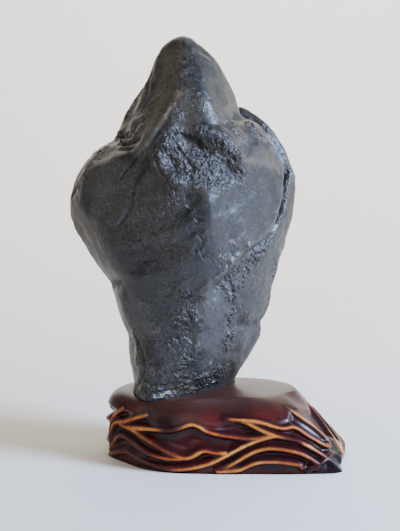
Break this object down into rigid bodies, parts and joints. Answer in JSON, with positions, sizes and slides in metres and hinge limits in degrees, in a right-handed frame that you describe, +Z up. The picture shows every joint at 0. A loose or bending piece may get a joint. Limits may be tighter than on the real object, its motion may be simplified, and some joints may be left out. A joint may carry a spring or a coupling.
{
  "type": "scholar's rock on stand",
  "caption": "Upright black water-worn scholar's rock with a fitted seat in a carved, lacquered hardwood stand, for display.",
  "frame": {"origin": "on the flat underside of the stand, 4 mm behind the middle of its top", "axes": "+Z up, along the stone's height; -Y towards the stone's front with the pitted hollow; +X to the right of someone facing that front"},
  "size_m": [0.1998, 0.1177, 0.3014],
  "materials": {
    "stone": "waxed satin, rough in the pitted hollows",
    "wood": "glossy dark red-brown lacquer, rubbed to golden orange on the carved ridges"
  },
  "bodies": {
    "root": {"stone": "stone", "stand": "wood"}
  },
  "joints": []
}
